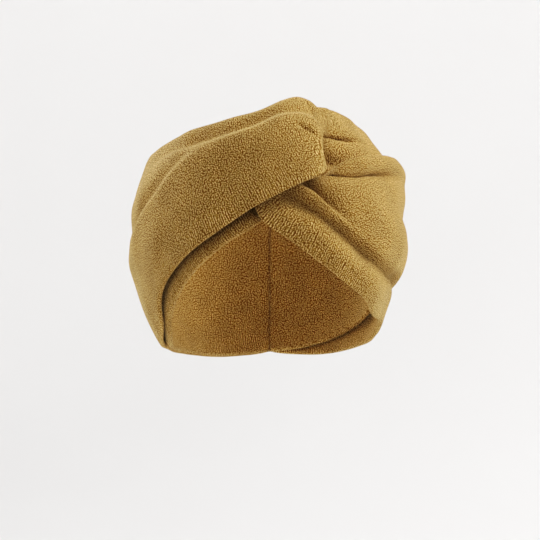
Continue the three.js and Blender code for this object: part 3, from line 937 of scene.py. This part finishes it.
STRIPS = [  # piece, solid, the other piece, flat width and length in m
    (left_strip, "left_loop", right_strip, (0.110, 0.642)),
    (right_strip, "right_loop", left_strip, (0.104, 0.609)),
]
for strip, solid, other, flat in STRIPS:
    strip.data.materials.append(knit)
    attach(strip, "root")
    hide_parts(solid)
    print(strip.name, "stands for", solid)

# %% [markdown]
# ## A round studio
# A flat floor with a wall behind would do for the front view, but the band is looked at from all sides.
# So the floor is a wide pale dish: a flat disc that curves up into a wall all round, one profile turned
# about the upright axis.

# %% Floor and backdrop
FLOOR_LEVEL, FLOOR_RADIUS, WALL_RADIUS, WALL_TOP = -0.42, 1.3, 2.1, 1.9  # m
DISH_TURNS, DISH_STEPS = 96, 24
HUB_RADIUS = 0.02  # m, of the one flat face in the middle of the floor
MOTTLE_WAVES = 2.0  # per m
PAPER_COLOURS = [(0, (0.80, 0.79, 0.785, 1)), (1, (0.84, 0.835, 0.83, 1))]  # mottle, colour


def studio_dish():
    """A profile turned about Z: a flat floor, a quarter circle and an upright wall, in metres."""
    bend = np.linspace(0, math.pi / 2, DISH_STEPS)
    cove = WALL_RADIUS - FLOOR_RADIUS
    radius = np.concatenate([[HUB_RADIUS], FLOOR_RADIUS + cove * np.sin(bend), [WALL_RADIUS]])
    height = np.concatenate([[0], cove * (1 - np.cos(bend)), [WALL_TOP]])
    turn = np.arange(DISH_TURNS) * 2 * math.pi / DISH_TURNS
    points = np.stack([
        np.outer(np.cos(turn), radius), np.outer(np.sin(turn), radius),
        np.broadcast_to(FLOOR_LEVEL + height, (DISH_TURNS, len(radius))),
    ], axis=-1)
    i, j = np.meshgrid(np.arange(DISH_TURNS), np.arange(len(radius) - 1), indexing="ij")
    k = (i + 1) % DISH_TURNS
    quads = np.stack([i, i, k, k], -1) * len(radius) + np.stack([j, j + 1, j + 1, j], -1)
    faces = quads.reshape(-1, 4).tolist() + [(np.arange(DISH_TURNS) * len(radius)).tolist()]
    mesh = bpy.data.meshes.new("studio_dish")
    mesh.from_pydata(points.reshape(-1, 3).tolist(), [], faces)
    mesh.polygons.foreach_set("use_smooth", np.ones(len(faces), bool))
    dish = bpy.data.objects.new("studio_dish", mesh)
    bpy.context.scene.collection.objects.link(dish)
    return dish


def paper_material():
    """Matt pale paper with a trace of mottle."""
    material = bpy.data.materials.new("pale_paper")
    material.use_nodes = True
    tree = material.node_tree
    shader = tree.nodes["Principled BSDF"]
    spot = add_node(tree, "ShaderNodeTexCoord").outputs["Object"]
    mottle = add_node(tree, "ShaderNodeTexNoise", Vector=spot, Scale=MOTTLE_WAVES, Detail=3.0)
    connect(tree, colour_ramp(tree, mottle.outputs["Fac"], PAPER_COLOURS), shader.inputs["Base Color"])
    shader.inputs["Roughness"].default_value = 0.9
    shader.inputs["Specular IOR Level"].default_value = 0.1
    return material


dish = studio_dish()
dish.data.materials.append(paper_material())
print("studio floor at", FLOOR_LEVEL, "m")

# %% [markdown]
# ## Soft light
# In the photograph both sides of the band are bright, the top is lit and the middle of the front is the
# darkest part. So the strongest lights stand to the right and behind on the left, both above, and only two
# weak ones in front. They are square area lights close to the band: their shades are soft, and little of
# their light comes back from the pale studio to fill the folds. Four more wash the walls, so that the
# background is nearly white.

# %% Lights
LIGHTS = [  # name, place, aim, size in m, power in W
    ("right_window", (0.68, 0.12, 0.58), (0, 0, 0), 0.52, 7.2),
    ("right_front", (0.66, -0.38, 0.48), (0, 0, 0), 0.52, 1.6),
    ("front_top", (-0.05, -0.33, 0.83), (0, 0, 0), 0.52, 2.0),
    ("rear_left", (-0.49, 0.49, 0.58), (0, 0, 0), 0.52, 9.6),
    ("right_wash", (0.9, 0.7, 0.1), (0.9, 2.0, 0.0), 0.8, 3),
    ("right_high_wash", (0.8, 0.6, 1.7), (0.6, 2.0, 1.0), 0.8, 19),
    ("left_wash", (-1.0, 0.2, 1.2), (-2.1, 0.3, 0.6), 0.8, 6),
    ("left_high_wash", (-0.8, 0.6, 1.7), (-0.6, 2.0, 1.0), 0.8, 12),
]


def area_light(name, spot, aim, size, power):
    """Square area light that looks from its place to its aim."""
    data = bpy.data.lights.new(name, "AREA")
    data.size = size
    data.energy = power
    light = bpy.data.objects.new(name, data)
    light.location = spot
    light.visible_camera = False
    x, y, z = np.array(aim) - np.array(spot)
    light.rotation_euler = (math.atan2(math.hypot(x, y), -z), 0, math.atan2(-x, y))
    bpy.context.scene.collection.objects.link(light)
    return light


for row in LIGHTS:
    area_light(*row)
world = bpy.data.worlds.new("dark_room")  # all the light comes from the lamps
world.use_nodes = True
world.node_tree.nodes["Background"].inputs["Strength"].default_value = 0.0
bpy.context.scene.world = world
print("lights:", [row[0] for row in LIGHTS])

# %% [markdown]
# ## The tone of a photograph
# A camera doesn't record light evenly: it darkens the deep shades a little and flattens the bright ones,
# which also makes shaded mustard redder and lit mustard paler. Blender's Filmic and AgX views do this
# strongly and grey the colours, so the plain Standard view is used with a gentle curve of its own.

# %% Tone curve
TONE_CURVE = [  # light of the scene, light in the picture
    (0.04, 0.030), (0.08, 0.077), (0.16, 0.187), (0.28, 0.350), (0.40, 0.479), (0.56, 0.631),
    (0.72, 0.772),
]
ALL_COLOURS = 3  # the curve for red, green and blue together
view = bpy.context.scene.view_settings
view.view_transform = "Standard"
view.use_curve_mapping = True
curve = view.curve_mapping.curves[ALL_COLOURS]
for scene_light, picture_light in TONE_CURVE:
    curve.points.new(scene_light, picture_light)
view.curve_mapping.update()
print("tone curve through", len(curve.points), "points")

# %% [markdown]
# ## The camera
# The photograph was taken with a level camera, from about a metre away. The picture is square, so the
# lens follows from the size of a pixel: 1.65 pixels to a millimetre at the frame's origin.

# %% Camera
PICTURE = 540  # pixels
SENSOR = 36.0  # mm
CAMERA_DISTANCE = 1.05  # m
PIXELS_PER_METRE = 1650
ORIGIN_PIXEL = (269.5, 250.0)  # where the frame's origin shows

camera_data = bpy.data.cameras.new("camera")
camera_data.sensor_width = SENSOR
camera_data.lens = SENSOR * PIXELS_PER_METRE * CAMERA_DISTANCE / PICTURE
camera = bpy.data.objects.new("camera", camera_data)
camera.location = (
    (PICTURE / 2 - ORIGIN_PIXEL[0]) / PIXELS_PER_METRE,
    -CAMERA_DISTANCE,
    (ORIGIN_PIXEL[1] - PICTURE / 2) / PIXELS_PER_METRE,
)
camera.rotation_euler = (math.pi / 2, 0, 0)
bpy.context.scene.collection.objects.link(camera)
bpy.context.scene.camera = camera
print("lens:", round(camera_data.lens, 1), "mm")
